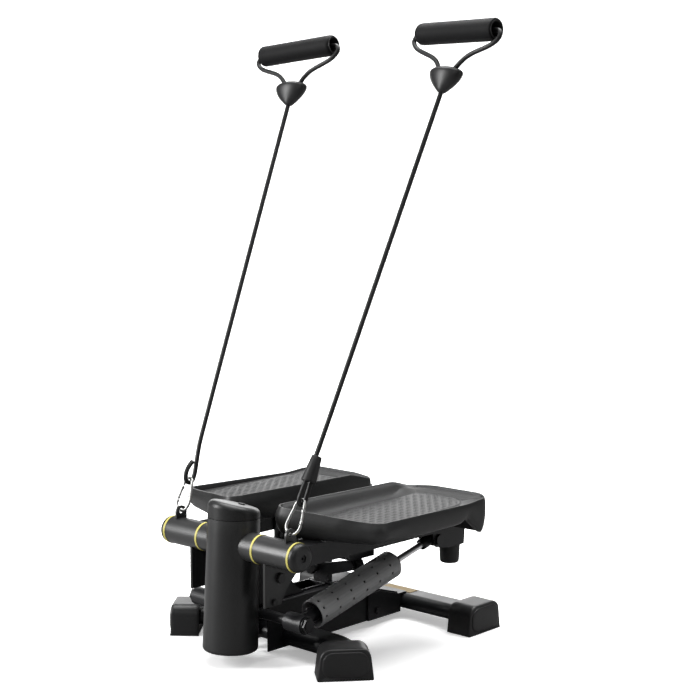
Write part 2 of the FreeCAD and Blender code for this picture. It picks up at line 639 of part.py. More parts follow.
def pedal():
    """Moulded foot plate: a shallow tray with a skirt, open below, on ribs over its arm."""
    outer = pedal_outline(0.0, PEDAL_Z0).extrude(V(0, 0, 60.0)).cut(above_rim(0.0))
    recess = pedal_outline(PEDAL_WALL, PEDAL_Z0).extrude(V(0, 0, 60.0))
    tread = recess.common(above_rim(TREAD_DROP))
    under = recess.translated(V(0, 0, -10.0)).cut(above_rim(TREAD_DROP + TREAD_PLATE))
    arm_half = ARM_HALF + ARM_FIT
    arm_room = block(ARM_X - arm_half, ARM_X + arm_half, ARM_STEP_Y - 0.5, PEDAL_Y1 + 5,
                     PEDAL_Z0 - 30.0, ARM_Z1 + ARM_FIT)
    shell = outer.cut([tread, under, arm_room])
    flap = plate_yz([(PIVOT_Y + 286, 182), (PIVOT_Y + 300, 174), (PIVOT_Y + 318, 165), (PIVOT_Y + 321, 164),
                     (PIVOT_Y + 321, 190), (PIVOT_Y + 286, 190)], FLAP_X - PEDAL_WALL, FLAP_X)
    feet = []
    for y in (PIVOT_Y + 110.0, PIVOT_Y + 200.0, PIVOT_Y + 300.0):
        rib = block(ARM_X - 8.0, ARM_X + 8.0, y - 6.0, y + 6.0, ARM_Z1, 222.0)
        feet.append(rib.cut(above_rim(TREAD_DROP + 1.0)))
    return shell.fuse([flap] + feet).removeSplitter()


def damper_bracket():
    """Pair of cheek plates inside the arm's rear end, with the base under the bumper."""
    outline = [(PIVOT_Y + 312, 134), (PIVOT_Y + 316, 128), (PIVOT_Y + 322, 126.5), (PIVOT_Y + 334, 124),
               (PIVOT_Y + 350, 122), (PIVOT_Y + 385, 122), (PIVOT_Y + 387, 150), (PIVOT_Y + 387, 180),
               (PIVOT_Y + 300, 180), (PIVOT_Y + 308, 150)]
    inner_face = ARM_X + ARM_HALF - SHEET
    plate = plate_yz(outline, inner_face - 3.0, inner_face)
    opposite = plate_yz(outline, 2 * ARM_X - inner_face, 2 * ARM_X - inner_face + 3.0)
    base = block(2 * ARM_X - inner_face, inner_face, PIVOT_Y + 345, PIVOT_Y + 385, 122, 125)
    bore = rod(PIN_R, V(ARM_X - 40, EYE_Y, EYE_Z), V(ARM_X + 40, EYE_Y, EYE_Z))
    return plate.fuse([opposite, base]).removeSplitter().cut(bore)


def pedal_bolts():
    """The damper pin and the bolt heads on the lever plate and the roller shoe."""
    half = ARM_HALF - SHEET
    pin = rod(PIN_R, V(ARM_X - half, EYE_Y, EYE_Z), V(ARM_X + half, EYE_Y, EYE_Z))
    head = rod(8.5, V(ARM_X + half, EYE_Y, EYE_Z), V(ARM_X + half + 4.0, EYE_Y, EYE_Z))
    nut = hex_head(V(ARM_X - half, EYE_Y, EYE_Z), V(-1, 0, 0), 13.0, 4.0)
    pin = pin.fuse([head, nut]).removeSplitter()
    upper = hex_head(V(79.0, PIVOT_Y + 15.5, 131.0), X, 13.0, 5.0)
    lower = hex_head(V(79.0, PIVOT_Y + 4.0, 98.5), X, 8.0, 3.5)
    shoe = hex_head(V(78.0, ROCKER_Y - 14.0, 142.0), V(-1, 0, 0), 8.0, 3.0)
    return Part.makeCompound([pin, upper, lower, shoe])


def bumper():
    centre_y = PIVOT_Y + 368.0
    foot = Part.makeCone(15.0, 16.5, 29.0, V(ARM_X, centre_y, 93.0), Z)
    lower = [edge for edge in foot.Edges if edge.BoundBox.ZMax < 93.5]
    return foot.makeFillet(4.0, lower)


def roller_shoe():
    """Angle plate on the arm that rests on the rocker's roller."""
    wall = block(78.0, ARM_X - ARM_HALF, ROCKER_Y - 24, ROCKER_Y + 26, SHOE_Z, 184.0)
    track = block(52.0, 79.0, ROCKER_Y - 24, ROCKER_Y + 26, SHOE_Z, SHOE_Z + 3.0)
    return wall.fuse(track).removeSplitter()


# ---- dampers ---------------------------------------------------------------------------------
def damper_point(distance):
    """Point on the damper's middle line, at a distance from its lower axle."""
    return DAMPER_LOW + DAMPER_ALONG * distance


def damper_barrel():
    """Hydraulic barrel with its stub and the cross boss on the lower axle."""
    start = V(81.0, LOWER_AXLE_Y, LOWER_AXLE_Z)
    end = V(114.4, LOWER_AXLE_Y, LOWER_AXLE_Z)
    boss = rod(13.5, start, end)
    stub = rod(10.0, damper_point(4.0), damper_point(48.0))
    body = rod(BARREL_R, damper_point(44.0), damper_point(202.0))
    cavity = rod(BARREL_BORE_R, damper_point(56.0), damper_point(194.0))
    neck = rod(ROD_R + RUNNING, damper_point(190.0), damper_point(205.0))
    bore = rod(LOWER_AXLE_R + RUNNING, start - V(9, 0, 0), end + V(9, 0, 0))
    return boss.fuse([stub, body]).removeSplitter().cut(bore).cut(cavity).cut(neck)


def damper_guard():
    """Perforated tube round the damper."""
    guard = ring(GUARD_R, GUARD_R - GUARD_WALL, damper_point(GUARD_S0), damper_point(GUARD_S1))
    drills = []
    for row in range(GUARD_HOLE_ROWS):
        centre = damper_point(GUARD_S0 + GUARD_HOLE_START + row * GUARD_HOLE_PITCH)
        for step in range(GUARD_HOLES_AROUND):
            angle = math.radians(6.0 + step * 360.0 / GUARD_HOLES_AROUND)
            out = X * math.cos(angle) + DAMPER_ACROSS * math.sin(angle)
            drills.append(rod(GUARD_HOLE_R, centre + out * (GUARD_R - 4.0), centre + out * (GUARD_R + 2.0)))
    return guard.cut(drills)


def damper_collar():
    """Rubber end piece that centres the guard on the damper."""
    outer = ring(GUARD_R - GUARD_WALL, BARREL_R, damper_point(GUARD_S1 - 6.0), damper_point(GUARD_S1))
    cap = rod(15.5, damper_point(GUARD_S1), damper_point(GUARD_S1 + 6.0))
    flange = ring(GUARD_R - GUARD_WALL, 15.0, damper_point(GUARD_S1 - 1.0), damper_point(GUARD_S1))
    nose = rod(9.0, damper_point(GUARD_S1 + 5.0), damper_point(GUARD_S1 + 11.0))
    bore = rod(ROD_R + RUNNING, damper_point(GUARD_S1 - 5), damper_point(GUARD_S1 + 20))
    return outer.fuse([flange, cap, nose]).removeSplitter().cut(bore)


def damper_rod():
    """Piston, its rod and the eye on the upper pin."""
    eye_distance = (DAMPER_HIGH - DAMPER_LOW).Length
    piston_start = damper_point(112.0)
    shaft = rod(ROD_R, piston_start, damper_point(eye_distance - 10.0))
    piston = rod(BARREL_BORE_R - RUNNING, piston_start, damper_point(124.0))
    socket = rod(9.0, damper_point(eye_distance - 26.0), damper_point(eye_distance - 6.0))
    eye = rod(11.0, V(ARM_X - 8.0, EYE_Y, EYE_Z), V(ARM_X + 8.0, EYE_Y, EYE_Z))
    bore = rod(OPEN_EYE_R, V(ARM_X - 20, EYE_Y, EYE_Z), V(ARM_X + 20, EYE_Y, EYE_Z))
    return shaft.fuse([piston, socket, eye]).removeSplitter().cut(bore)


# ---- bands -----------------------------------------------------------------------------------
def band_point(across_distance, along_distance):
    """Point in the plane of the carabiner, measured from the eye hole."""
    return EYE_HOLE + BAND_ACROSS * across_distance + BAND_ALONG * along_distance


def carabiner():
    """Pear-shaped wire hook, open on one side where the gate closes it."""
    bottom = CARABINER_BOTTOM_R
    top = CARABINER_TOP_R
    top_centre = CARABINER_LENGTH - top
    slope = 0.105    # how fast the two sides draw together towards the top
    edges = [
        Part.LineSegment(band_point(bottom - 0.1, bottom + 3.0), band_point(bottom, bottom)).toShape(),
        Part.Arc(band_point(bottom, bottom), band_point(0, 0), band_point(-bottom, bottom)).toShape(),
        Part.LineSegment(band_point(-bottom, bottom), band_point(-top, top_centre)).toShape(),
        Part.Arc(band_point(-top, top_centre), band_point(0, CARABINER_LENGTH),
                 band_point(top, top_centre)).toShape(),
        Part.LineSegment(band_point(top, top_centre),
                         band_point(top + 4 * slope, top_centre - 4.0)).toShape(),
    ]
    pieces = []
    for edge in edges:
        start = edge.valueAt(edge.FirstParameter)
        section = Part.Wire([Part.makeCircle(CARABINER_WIRE_R, start, edge.tangentAt(edge.FirstParameter))])
        pieces.append(Part.Wire([edge]).makePipeShell([section], True, False))
    joints = []
    for edge in edges[1:]:
        joints.append(Part.makeSphere(CARABINER_WIRE_R, edge.valueAt(edge.FirstParameter)))
    return pieces[0].fuse(pieces[1:] + joints).removeSplitter()


def carabiner_gate():
    """Straight gate with a cross barrel at its lower end, on which it turns."""
    top_centre = CARABINER_LENGTH - CARABINER_TOP_R
    hinge = band_point(CARABINER_BOTTOM_R - 0.2, CARABINER_BOTTOM_R + GATE_HINGE_RISE)
    end = band_point(CARABINER_TOP_R + 0.45, top_centre - 4.4)
    half_barrel = BAND_THROUGH * GATE_BARREL_R
    barrel = rod(GATE_BARREL_R, hinge - half_barrel, hinge + half_barrel)
    return rod(GATE_R, hinge, end).fuse(barrel).removeSplitter()


def band_route(through_along):
    """From the yoke down the band, round the carabiner's top and back up beside itself."""
    ends = [EYE_HOLE + BAND_THROUGH * through + BAND_ALONG * along for through, along in through_along]
    return [YOKE_FOOT] + ends


def band_cover():
    """Conical rubber sleeve over the crimped end of the right band."""
    start = band_point(0, 76.0)
    length = 37.0
    cone = Part.makeCone(11.0, 7.2, length, start, BAND_ALONG)
    hollow = Part.makeCone(9.0, 3.6, length, start, BAND_ALONG)
    return cone.cut(hollow)


def handle_point(out_distance, up_distance):
    """Point in the plane of the handle's cord, measured from the foot of the yoke."""
    return YOKE_FOOT + HANDLE_OUT * out_distance + HANDLE_UP * up_distance


def yoke():
    """Flattened bell that joins the band to the two strands of the handle cord."""
    levels = [(0.0, 8.0, 7.0), (5.0, 14.0, 10.0), (14.0, 23.5, 13.5), (26.0, 29.5, 15.5), (34.0, 28.0, 15.0)]
    turn = FreeCAD.Rotation(HANDLE_OUT, HANDLE_UP.cross(HANDLE_OUT), HANDLE_UP, "ZXY")
    wires = []
    for height, half_out, half_deep in levels:
        ellipse = Part.Ellipse(V(0, 0, 0), half_out, half_deep).toShape()
        wire = Part.Wire([ellipse])
        wire.Placement = FreeCAD.Placement(YOKE_FOOT + HANDLE_UP * height, turn)
        wires.append(wire)
    return Part.makeLoft(wires, True)


def handle_route():
    """From the yoke up one strand, through the grip and down the other strand."""
    return [handle_point(14.0, 34.0),
            handle_point(23.0, 46.0),
            handle_point(38.0, 56.5),
            handle_point(58.0, 63.0),
            handle_point(75.0, 69.5),
            handle_point(86.0, 81.0),
            handle_point(79.5, 92.5),
            handle_point(44.0, 88.5),
            handle_point(0.0, 87.0),
            handle_point(-44.0, 88.5),
            handle_point(-80.0, 92.5),
            handle_point(-87.0, 81.0),
            handle_point(-76.0, 68.5),
            handle_point(-58.0, 61.5),
            handle_point(-38.0, 54.5),
            handle_point(-24.0, 45.5),
            handle_point(-17.0, 34.0)]


def grip():
    """Foam tube round the upper run of the handle's cord."""
    half = HANDLE_OUT * (GRIP_LENGTH / 2.0)
    return ring(GRIP_R, GRIP_BORE_R, GRIP_CENTRE - half, GRIP_CENTRE + half)


# ---- all nodes -------------------------------------------------------------------------------
def save_pair(name, shape):
    save(name + "_right", shape)
    save(name + "_left", mirrored(shape))


def main():
    os.makedirs("parts", exist_ok=True)
    save("column_shell", column_shell())
    save("column_cap", column_cap())
    save("display_lens", display_lens())
    save("display_button", display_button())
    save("pivot_stub", pivot_stub())
    save("pivot_axle", pivot_axle())
    save("end_caps", both_sides(end_cap()))
    save("front_bow_tube", front_bow_tube())
    save("rear_tube", rear_tube())
    save("front_feet", both_sides(front_foot()))
    save("rear_feet", both_sides(rear_foot()))
    save("spine_channel", spine_channel())
    save("rear_saddle", rear_saddle())
    save("post_gusset", post_gusset())
    save("frame_screws", frame_screws())
    save("rear_label", rear_label())
    save("lower_axle", lower_axle())
    save("axle_nuts", both_sides(axle_nut()))
    save("rocker_post", rocker_post())
    save("rocker_bolt", rocker_bolt())
    save("rocker_beam", rocker_beam())
    save_pair("rocker_roller", rocker_roller())
    save_pair("sleeve", sleeve())
    save_pair("bushes", bushes())
    save_pair("arm", arm())
    save_pair("pedal", pedal())
    save_pair("damper_bracket", damper_bracket())
    save_pair("pedal_bolts", pedal_bolts())
    save_pair("bumper", bumper())
    save_pair("roller_shoe", roller_shoe())
    save_pair("damper_barrel", damper_barrel())
    save_pair("damper_guard", damper_guard())
    save_pair("damper_collar", damper_collar())
    save_pair("damper_rod", damper_rod())
    save_pair("carabiner", carabiner())
    save_pair("carabiner_gate", carabiner_gate())
    save("band_right", cord("band_right", band_route(CRIMPED_LOOP), CORD_R))
    save("band_left", mirrored(cord("band_left", band_route(OPEN_LOOP), CORD_R)))
    save("band_cover", band_cover())
    save_pair("yoke", yoke())
    save_pair("handle_cord", cord("handle_cord", handle_route(), CORD_R))
    save_pair("grip", grip())


main()
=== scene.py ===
import json
import math

import bmesh
import bpy
from mathutils import Matrix, Vector
from mathutils.geometry import delaunay_2d_cdt


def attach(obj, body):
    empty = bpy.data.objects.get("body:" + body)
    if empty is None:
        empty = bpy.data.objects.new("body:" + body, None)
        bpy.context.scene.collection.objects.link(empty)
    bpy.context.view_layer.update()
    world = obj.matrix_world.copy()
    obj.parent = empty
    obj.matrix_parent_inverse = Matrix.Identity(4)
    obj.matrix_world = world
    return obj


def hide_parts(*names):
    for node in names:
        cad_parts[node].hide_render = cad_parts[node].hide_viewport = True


# Mini stepper with two foot plates, hydraulic dampers and two resistance bands.
# Points marked as Vector are metres. Profiles and outlines are millimetres, which MM turns into metres.
# Everything is drawn for the right side, +X, and mirrored for the left side.
MM = 0.001
SIDES = (("right", 1), ("left", -1))

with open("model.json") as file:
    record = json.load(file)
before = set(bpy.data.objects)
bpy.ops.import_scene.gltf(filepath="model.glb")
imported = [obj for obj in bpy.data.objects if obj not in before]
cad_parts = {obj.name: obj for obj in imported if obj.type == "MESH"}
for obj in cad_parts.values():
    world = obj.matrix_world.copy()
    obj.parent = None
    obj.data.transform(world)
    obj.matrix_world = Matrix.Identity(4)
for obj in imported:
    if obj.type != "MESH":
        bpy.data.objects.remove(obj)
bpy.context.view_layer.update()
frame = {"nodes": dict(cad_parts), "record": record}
nodes = frame["nodes"]

PIVOT = Vector((0.0, -0.1704, 0.171))
EYE_HOLE = Vector((0.115, -0.1694, 0.201))
YOKE_FOOT = Vector((0.1575, 0.0996, 0.8152))
GRIP_CENTRE = Vector((0.164, 0.1286, 0.902))
GRIP_AXIS = Vector((0.9977, -0.0645, -0.020))
CORD_R = 0.0035
BAND_UP = (YOKE_FOOT - EYE_HOLE).normalized()
BAND_ACROSS = (Vector((1, 0, 0)) - BAND_UP * BAND_UP.x).normalized()
BAND_THROUGH = BAND_ACROSS.cross(BAND_UP)
HANDLE_UP = (GRIP_CENTRE - YOKE_FOOT).normalized()
HANDLE_OUT = (GRIP_AXIS - HANDLE_UP * HANDLE_UP.dot(GRIP_AXIS)).normalized()
HANDLE_DEEP = HANDLE_OUT.cross(HANDLE_UP)


# ---- camera ----------------------------------------------------------------------------------
LOOK_DOWN_DEG = 5.3
LOOK_TURN_DEG = 42.8


def make_camera():
    """Three-quarter view from in front of the column, to its right and slightly above."""
    camera = bpy.data.objects.new("camera", bpy.data.cameras.new("camera"))
    camera.data.lens = 70.4
    camera.data.sensor_width = 36.0
    camera.location = (1.4256, -1.4647, 0.6251)
    camera.rotation_euler = (math.radians(90.0 - LOOK_DOWN_DEG), 0.0, math.radians(LOOK_TURN_DEG))
    bpy.context.scene.collection.objects.link(camera)
    bpy.context.scene.camera = camera


# ---- small helpers ---------------------------------------------------------------------------
def mirrored(point, side):
    return Vector((point.x * side, point.y, point.z))


def ride_and_slot(piece, body, slot, *replaced):
    """Says which body the piece moves with and the CAD nodes it stands for; the material slot it is
    given is not used.
    """
    if replaced:
        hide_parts(*replaced)
    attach(piece, body)


def band_point(across, up, through=0.0):
    """Point beside the right band, in millimetres from the hole of its eye plate."""
    return EYE_HOLE + (BAND_ACROSS * across + BAND_UP * up + BAND_THROUGH * through) * MM


def handle_point(out, up):
    """Point in the plane of the right handle's cord, in millimetres from the foot of the yoke."""
    return YOKE_FOOT + (HANDLE_OUT * out + HANDLE_UP * up) * MM


def new_object(name, data, material):
    piece = bpy.data.objects.new(name, data)
    bpy.context.scene.collection.objects.link(piece)
    if material is not None:
        data.materials.append(material)
    return piece


def mesh_object(name, verts, faces, material, smooth_deg=35.0):
    """A mesh with its faces turned outwards, smooth up to an angle between them."""
    mesh = bpy.data.meshes.new(name)
    mesh.from_pydata([tuple(v) for v in verts], [], faces)
    mesh.validate()
    bm = bmesh.new()
    bm.from_mesh(mesh)
    bmesh.ops.recalc_face_normals(bm, faces=bm.faces)
    bm.to_mesh(mesh)
    bm.free()
    piece = new_object(name, mesh, material)
    smooth(piece, smooth_deg)
    return piece


def smooth(piece, angle_deg):
    piece.data.shade_smooth()
    piece.data.set_sharp_from_angle(angle=math.radians(angle_deg))


def add_subdivision(piece, levels):
    modifier = piece.modifiers.new("subdivision", "SUBSURF")
    modifier.levels = levels
    modifier.render_levels = levels


def nurbs_cord(name, points, radius, material):
    """A round cord that follows straight runs joined by bends at the given points."""
    curve = bpy.data.curves.new(name, "CURVE")
    curve.dimensions = "3D"
    curve.bevel_depth = radius
    curve.bevel_resolution = 6
    curve.resolution_u = 12
    curve.use_fill_caps = True
    spline = curve.splines.new("NURBS")
    spline.points.add(len(points) - 1)
    for control, point in zip(spline.points, points):
        control.co = (point.x, point.y, point.z, 1.0)
    spline.order_u = 3
    spline.use_endpoint_u = True
    return new_object(name, curve, material)


def ring_of(centre, across, up, radius_across, radius_up, count):
    """Points of an ellipse round a centre."""
    angles = [2.0 * math.pi * i / count for i in range(count)]
    return [centre + across * (radius_across * math.cos(angle)) + up * (radius_up * math.sin(angle))
            for angle in angles]


def band_faces(first, second, count):
    """Quads between two closed rings of count vertices, given the number of each ring's first one."""
    faces = []
    for i in range(count):
        j = (i + 1) % count
        faces.append((first + i, first + j, second + j, second + i))
    return faces


def skin(name, rings, material, closed=False, smooth_deg=35.0):
    """Joins rings of equal point counts. Its two ends are capped, unless closed joins them up."""
    count = len(rings[0])
    verts = [v for ring in rings for v in ring]
    faces = []
    for r in range(len(rings) if closed else len(rings) - 1):
        faces += band_faces(r * count, (r + 1) % len(rings) * count, count)
    if not closed:
        faces.append(tuple(range(count)))
        faces.append(tuple((len(rings) - 1) * count + i for i in range(count)))
    return mesh_object(name, verts, faces, material, smooth_deg)


def lathe(name, start, axis, profile, material, count=64, closed=False):
    """Turns (distance along axis, radius) points, in millimetres, about a line through start."""
    axis = axis.normalized()
    across = axis.orthogonal().normalized()
    up = axis.cross(across)
    rings = [ring_of(start + axis * (d * MM), across, up, r * MM, r * MM, count) for d, r in profile]
    return skin(name, rings, material, closed=closed)


# ---- materials -------------------------------------------------------------------------------
def mottled_colour(tree, vector, colour, scale, share):
    """The colour, slowly changing between a darker and a lighter tone; also gives the slow noise."""
    slow = tree.nodes.new("ShaderNodeTexNoise")
    slow.inputs["Scale"].default_value = scale
    slow.inputs["Detail"].default_value = 5.0
    tree.links.new(vector, slow.inputs["Vector"])
    tone = tree.nodes.new("ShaderNodeMix")
    tone.data_type = "RGBA"
    tone.inputs["A"].default_value = (*[c * (1.0 - share) for c in colour], 1.0)
    tone.inputs["B"].default_value = (*[min(1.0, c * (1.0 + share)) for c in colour], 1.0)
    tree.links.new(slow.outputs["Fac"], tone.inputs["Factor"])
    return tone.outputs["Result"], slow.outputs["Fac"]


def wear_and_highlight_edges(tree, colour_out, colour, amount):
    """Lightens the colour where the surface bends sharply outwards: partly wear, and partly a painted
    highlight along rounded edges.
    """
    edge = tree.nodes.new("ShaderNodeNewGeometry")
    ramp = tree.nodes.new("ShaderNodeMapRange")
    ramp.inputs["From Min"].default_value = 0.52
    ramp.inputs["From Max"].default_value = 0.64
    ramp.inputs["To Max"].default_value = amount
    tree.links.new(edge.outputs["Pointiness"], ramp.inputs["Value"])
    edge_tint = tree.nodes.new("ShaderNodeMix")
    edge_tint.data_type = "RGBA"
    edge_tint.inputs["B"].default_value = (*[min(1.0, c * 2.2 + 0.05) for c in colour], 1.0)
    tree.links.new(colour_out, edge_tint.inputs["A"])
    tree.links.new(ramp.outputs["Result"], edge_tint.inputs["Factor"])
    return edge_tint.outputs["Result"]


def fine_grain(tree, vector, scale, strength, depth):
    """A fine relief over the surface, as a normal."""
    fine = tree.nodes.new("ShaderNodeTexNoise")
    fine.inputs["Scale"].default_value = scale
    fine.inputs["Detail"].default_value = 3.0
    tree.links.new(vector, fine.inputs["Vector"])
    relief = tree.nodes.new("ShaderNodeBump")
    relief.inputs["Strength"].default_value = strength
    relief.inputs["Distance"].default_value = depth
    tree.links.new(fine.outputs["Fac"], relief.inputs["Height"])
    return relief.outputs["Normal"]


def surface(name, colour, roughness, metallic=0.0, grain=(900.0, 0.1), mottle=(14.0, 0.12),
            edge_wear_and_highlight=0.0, spread=0.08, specular=0.4, grain_depth=0.0002):
    """A finish with fine grain (scale, strength), slow mottle (scale, share) and edges lightened partly
    for wear and partly as a painted highlight.
    """
    material = bpy.data.materials.new(name)
    material.use_nodes = True
    tree = material.node_tree
    shader = tree.nodes["Principled BSDF"]
    shader.inputs["Metallic"].default_value = metallic
    shader.inputs["Specular IOR Level"].default_value = specular
    vector = tree.nodes.new("ShaderNodeTexCoord").outputs["Object"]
    colour_out, slow_out = mottled_colour(tree, vector, colour, *mottle)
    # Where the surface bends outwards its colour is lightened: partly wear, partly a painted highlight.
    if edge_wear_and_highlight > 0.0:
        colour_out = wear_and_highlight_edges(tree, colour_out, colour, edge_wear_and_highlight)
    tree.links.new(colour_out, shader.inputs["Base Color"])
    gloss = tree.nodes.new("ShaderNodeMapRange")
    gloss.inputs["To Min"].default_value = max(0.02, roughness - spread)
    gloss.inputs["To Max"].default_value = min(1.0, roughness + spread)
    tree.links.new(slow_out, gloss.inputs["Value"])
    tree.links.new(gloss.outputs["Result"], shader.inputs["Roughness"])
    tree.links.new(fine_grain(tree, vector, *grain, grain_depth), shader.inputs["Normal"])
    return material


# Finish of each material slot: name, colour, roughness and the other choices of surface().
FINISHES = {
    "column": ("column_paint", (0.013, 0.0132, 0.0135), 0.34,
               {"grain": (1400, 0.15), "edge_wear_and_highlight": 0.25, "specular": 0.5}),
    "cap_plastic": ("cap_moulding", (0.013, 0.0132, 0.0135), 0.4, {"grain": (1100, 0.2)}),
    "frame_steel": ("powder_coat", (0.005, 0.005, 0.006), 0.36,
                    {"grain": (1500, 0.3), "edge_wear_and_highlight": 0.2, "specular": 0.28}),
    # The foot plate's edges are lightened strongly: a painted highlight along its rounded rim, with
    # some wear.
    "pedal_plastic": ("pedal_moulding", (0.014, 0.0142, 0.0145), 0.46,
                      {"grain": (1300, 0.35), "edge_wear_and_highlight": 0.8}),
    "foot_plastic": ("shoe_moulding", (0.014, 0.014, 0.0145), 0.42,
                     {"grain": (1100, 0.3), "edge_wear_and_highlight": 0.2}),
    "steel": ("machined_steel", (0.45, 0.45, 0.46), 0.32, {"metallic": 1.0, "grain": (700, 0.1)}),
    "chrome": ("chrome", (0.95, 0.95, 0.96), 0.3,
               {"metallic": 1.0, "grain": (600, 0.02), "spread": 0.03}),
    "zinc": ("zinc_wire", (0.42, 0.42, 0.41), 0.38, {"metallic": 1.0, "grain": (900, 0.08)}),
    "nylon": ("yellow_nylon", (0.56, 0.5, 0.13), 0.45, {"grain": (800, 0.1)}),
    "guard": ("guard_paint", (0.22, 0.22, 0.223), 0.42,
              {"metallic": 0.2, "grain": (1200, 0.2), "edge_wear_and_highlight": 0.3}),
    "rubber": ("rubber", (0.008, 0.008, 0.0085), 0.5, {"grain": (900, 0.4)}),
    "foam": ("grip_foam", (0.006, 0.006, 0.0065), 0.6,
             {"grain": (1500, 0.6), "specular": 0.15, "grain_depth": 0.0004}),
    "cord": ("elastic_cord", (0.007, 0.007, 0.0075), 0.42, {"grain": (1000, 0.25)}),
    "lens": ("display_lens", (0.01, 0.013, 0.013), 0.3, {"grain": (500, 0.02), "specular": 0.2}),
    "label": ("yellow_label", (0.17, 0.115, 0.035), 0.6, {"grain": (600, 0.08)}),
    "button": ("button_plastic", (0.02, 0.02, 0.021), 0.45, {"grain": (900, 0.15), "specular": 0.25}),
    "bolts": ("black_oxide", (0.012, 0.012, 0.0125), 0.35,
              {"metallic": 0.5, "grain": (900, 0.2), "edge_wear_and_highlight": 0.3}),
}


def make_materials():
    return {slot: surface(name, colour, roughness, **choices)
            for slot, (name, colour, roughness, choices) in FINISHES.items()}


make_camera()
paint = make_materials()


# ---- cords -----------------------------------------------------------------------------------
# Ends of the bands as distances (through the carabiner, along the band) from the eye hole, in
# millimetres: the right one is crimped under its cover, and the left one is tied with an open end.
CRIMPED_LOOP = [(0.5, 124), (3.9, 100), (6.1, 64), (6.3, 43.2), (-6.3, 43.2), (-6.1, 64), (-3.9, 98)]
OPEN_LOOP = [(-0.5, 112), (-3, 92), (-5.5, 73), (-8.2, 56), (-5.4, 43.2), (5.4, 43.2), (9.8, 53),
             (8.4, 65), (3.0, 75)]
# The handle cord as distances (outwards, up) from the yoke's foot, in millimetres.
HANDLE_ROUTE = [(14, 34), (23, 46), (38, 56.5), (58, 63), (75, 69.5), (86, 81), (79.5, 92.5),
                (44, 88.5), (0, 87), (-44, 88.5), (-80, 92.5), (-87, 81), (-76, 68.5), (-58, 61.5),
                (-38, 54.5), (-24, 45.5), (-17, 34)]


def make_band(side_name, side, loop):
    points = [YOKE_FOOT] + [band_point(0.0, up, through) for through, up in loop]
    points = [mirrored(p, side) for p in points]
    band = nurbs_cord("elastic_band_" + side_name, points, CORD_R, paint["cord"])
    ride_and_slot(band, "band_" + side_name, "cord", "band_" + side_name)
    return band


def make_handle_cord(side_name, side):
    points = [mirrored(handle_point(out, up), side) for out, up in HANDLE_ROUTE]
    strand = nurbs_cord("handle_loop_" + side_name, points, CORD_R, paint["cord"])
    ride_and_slot(strand, "band_" + side_name, "cord", "handle_cord_" + side_name)
    return strand


# ---- foot plates -----------------------------------------------------------------------------
# Plan outline of a foot plate in millimetres: x, distance behind the pivot, corner radius.
PEDAL_CORNERS = [(42, 38, 16), (72, 42, 100), (201, 89, 22), (191.5, 349.5, 18), (42, 348, 15)]
PEDAL_X0, PEDAL_X1 = 42.0, 201.0
PEDAL_Y0, PEDAL_Y1 = 42.0, 348.0
PAD_CORNERS = [(76, 56, 8), (187, 95, 12), (179, 322, 44), (76, 322, 28)]
SKIRT_Z = 180.5
# Skirt from the bottom up: share of its height, inset along the sides, inset in front.
SKIRT = [(0.0, 5.4, 9.5), (0.03, 4.3, 7.8), (0.1, 2.6, 4.4), (0.22, 0.9, 0.2), (0.38, -0.3, -3.2),
         (0.55, -1.1, -4.8), (0.72, -1.2, -4.4), (0.86, -0.8, -2.4), (0.96, -0.1, -0.3)]
# Round top of the rim: inset, drop below its highest line.
RIM = [(0.5, 0.15), (1.4, 0.0), (2.4, 0.15), (3.1, 0.9)]
RIM_WIDTH = 3.8
# Hidden inner face of the skirt: inset, height above its lower edge.
UNDERSIDE = [(11.0, 0.0), (6.0, 14.0), (7.0, 19.0)]
# Tread: height at its front, rise towards the rear, and the trough along its raised inner wall.
TREAD_Z, TREAD_SLOPE, TREAD_FRONT_Y = 204.2, 0.013, 110.0
TROUGH_X, TROUGH_DEPTH, TROUGH_HALF = 71.0, 1.6, 5.0
WALL_X0, WALL_X1 = 44.5, 66.0
TREAD_GRID = 1.7
# Ridges of the pad. Length, width and bow are shares of the pitch.
RIDGE_HEIGHT, RIDGE_PITCH_X, RIDGE_PITCH_Y = 0.85, 14.0, 8.0
RIDGE_LENGTH, RIDGE_WIDTH, RIDGE_BOW = 0.42, 0.17, 0.22


def rounded_outline(corners, steps=10, spacing=4.0):
    """Points of a closed outline of straight sides and round corners."""
    outline = []
    count = len(corners)
    for i in range(count):
        corner = Vector(corners[i][:2])
        radius = corners[i][2]
        back = (Vector(corners[i - 1][:2]) - corner).normalized()
        ahead = (Vector(corners[(i + 1) % count][:2]) - corner).normalized()
        half = back.angle(ahead) / 2.0
        reach = radius / math.tan(half)
        centre = corner + (back + ahead).normalized() * (radius / math.sin(half))
        first = corner + back * reach - centre
        last = corner + ahead * reach - centre
        turn = first.angle(last)
        side = 1.0 if first.x * last.y - first.y * last.x > 0 else -1.0
        start = math.atan2(first.y, first.x)
        arc = [centre + Vector((math.cos(start + side * turn * s / steps),
                                math.sin(start + side * turn * s / steps))) * radius
               for s in range(steps + 1)]
        if outline:
            outline += straight_points(outline[-1], arc[0], spacing)
        outline += arc
    outline += straight_points(outline[-1], outline[0], spacing)
    return outline


def straight_points(start, end, spacing):
    pieces = max(1, round((end - start).length / spacing))
    return [start.lerp(end, i / pieces) for i in range(1, pieces)]


def inset_outline(outline, distance):
    """The outline moved inwards; a negative distance moves it outwards."""
    count = len(outline)
    moved = []
    for i in range(count):
        along = (outline[(i + 1) % count] - outline[i - 1]).normalized()
        moved.append(outline[i] + Vector((-along.y, along.x)) * distance)
    return moved


def smoothstep(low, high, value):
    t = min(1.0, max(0.0, (value - low) / (high - low)))
    return t * t * (3.0 - 2.0 * t)


